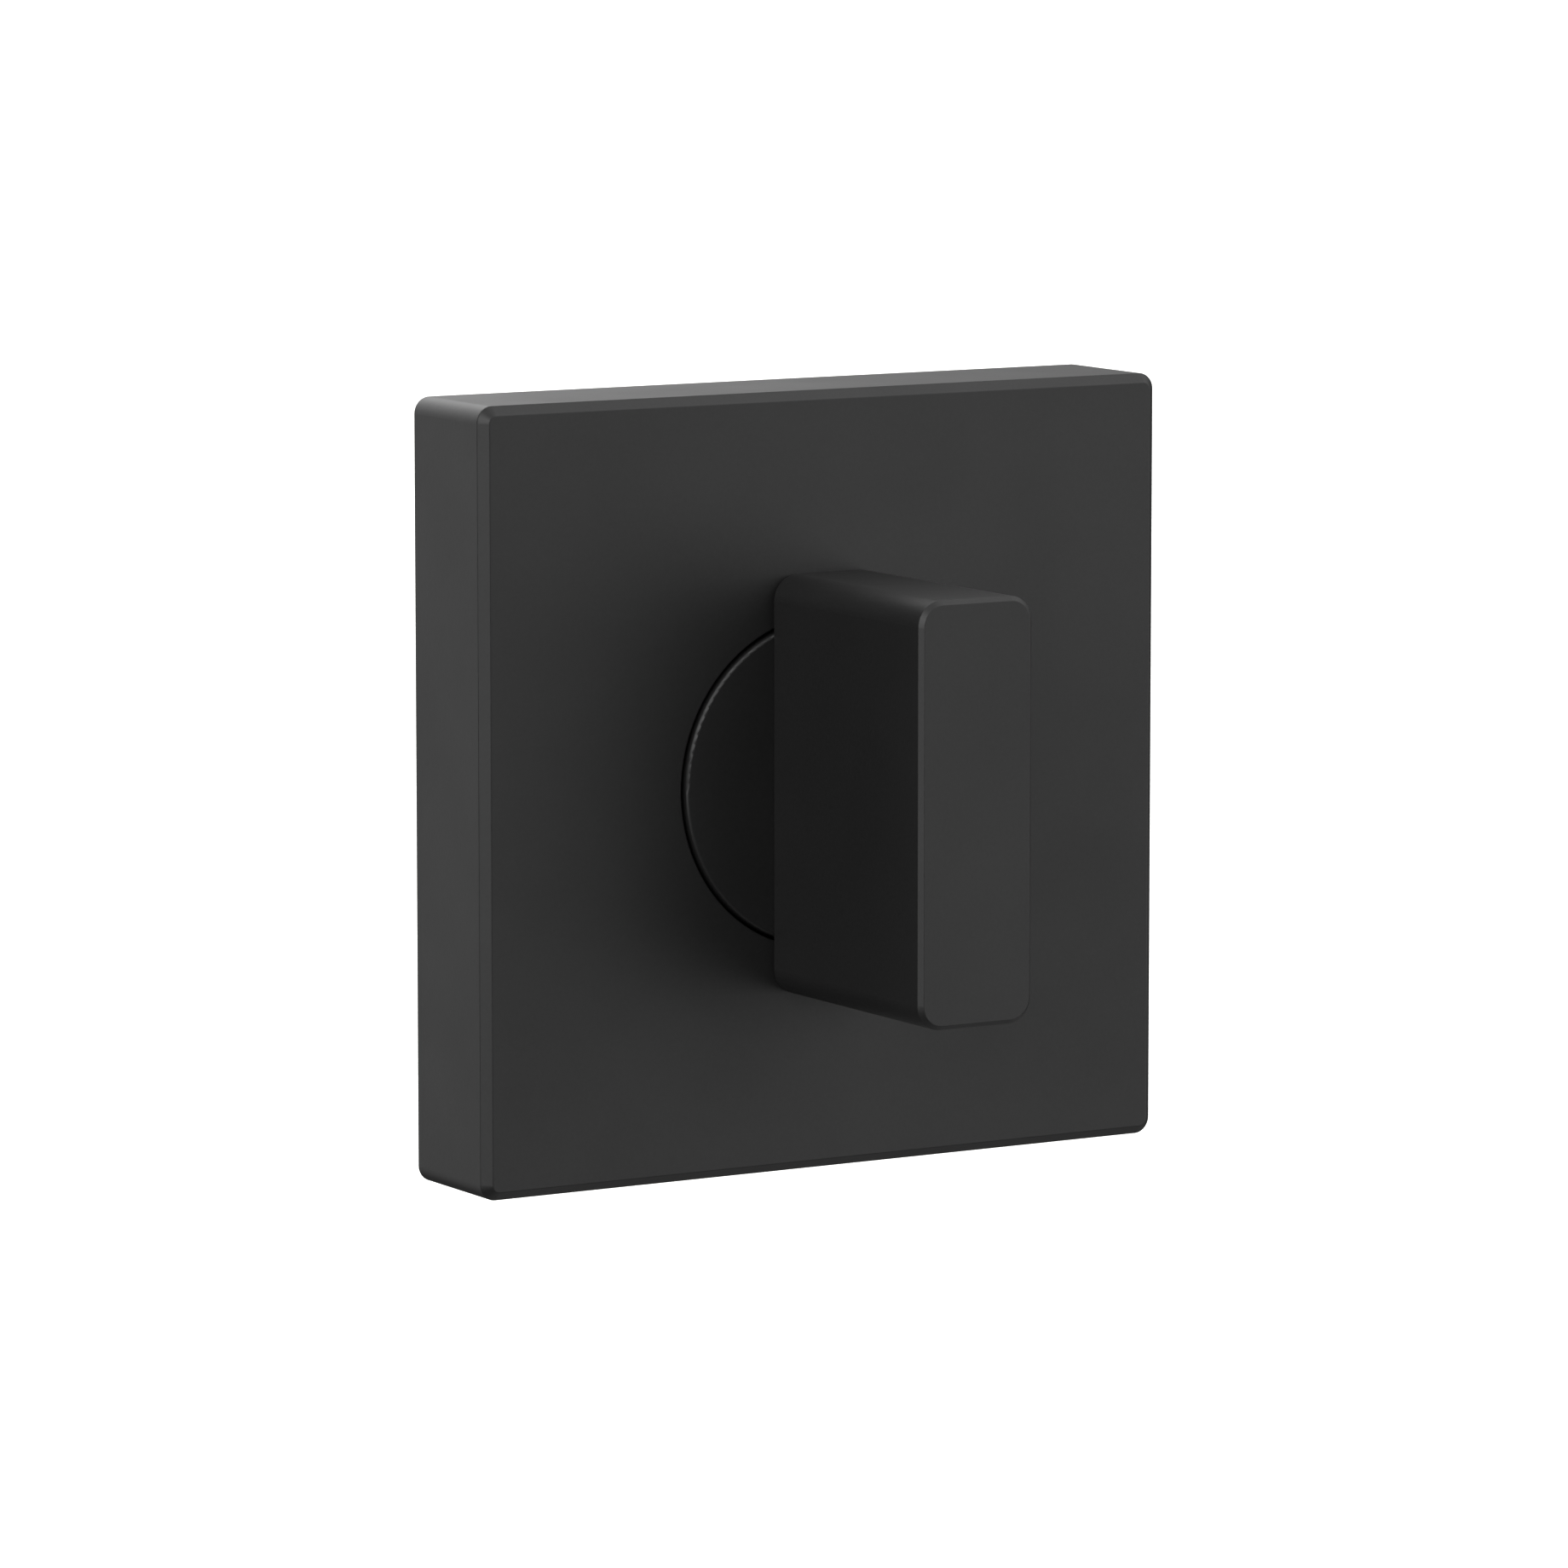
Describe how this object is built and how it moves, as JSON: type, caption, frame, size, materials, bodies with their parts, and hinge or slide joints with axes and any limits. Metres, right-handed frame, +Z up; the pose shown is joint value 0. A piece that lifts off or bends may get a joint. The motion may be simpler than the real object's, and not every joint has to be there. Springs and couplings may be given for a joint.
{
  "type": "privacy thumb turn on square rose",
  "caption": "Matt black square door rose with a rectangular privacy thumb turn that swings a quarter turn and drives a square spindle, bolted through the door.",
  "frame": {"origin": "on the door's face, on the spindle's axis, at the middle of the rose's back", "axes": "+Y into the door along the spindle, +Z up, +X to the right of someone facing the door"},
  "size_m": [0.052, 0.065, 0.052],
  "materials": {
    "black_coat": "matt black powder coat on die-cast zinc",
    "zinc_plated_steel": "clear zinc plated steel",
    "screw_steel": "zinc plated screw steel",
    "spring_steel": "oiled, heat-blackened spring steel",
    "rivet_aluminium": "plain aluminium rivet",
    "bright_steel": "bright drawn steel",
    "acetal": "natural white acetal"
  },
  "bodies": {
    "rose": {"rose_cover": "black_coat", "base_plate": "zinc_plated_steel", "support_sleeve_upper": "zinc_plated_steel", "support_sleeve_lower": "zinc_plated_steel", "fixing_screws": "screw_steel", "cover_clip_left_upper": "spring_steel", "cover_clip_left_lower": "spring_steel", "cover_clip_right_upper": "spring_steel", "cover_clip_right_lower": "spring_steel", "clip_rivets": "rivet_aluminium", "bearing_bush": "acetal", "slide_washer": "acetal"},
    "turn": {"turn_grip": "black_coat", "turn_collar": "black_coat", "grip_screw": "screw_steel", "grip_dowels": "bright_steel", "stop_washer": "zinc_plated_steel", "disc_spring": "spring_steel", "circlip": "spring_steel", "spindle": "bright_steel", "spindle_pin": "spring_steel"}
  },
  "joints": [
    {"name": "turn", "type": "hinge", "parent": "rose", "child": "turn", "pos_m": [0, 0, 0], "axis": [0, 1, 0], "range_deg": [0, 90]}
  ]
}
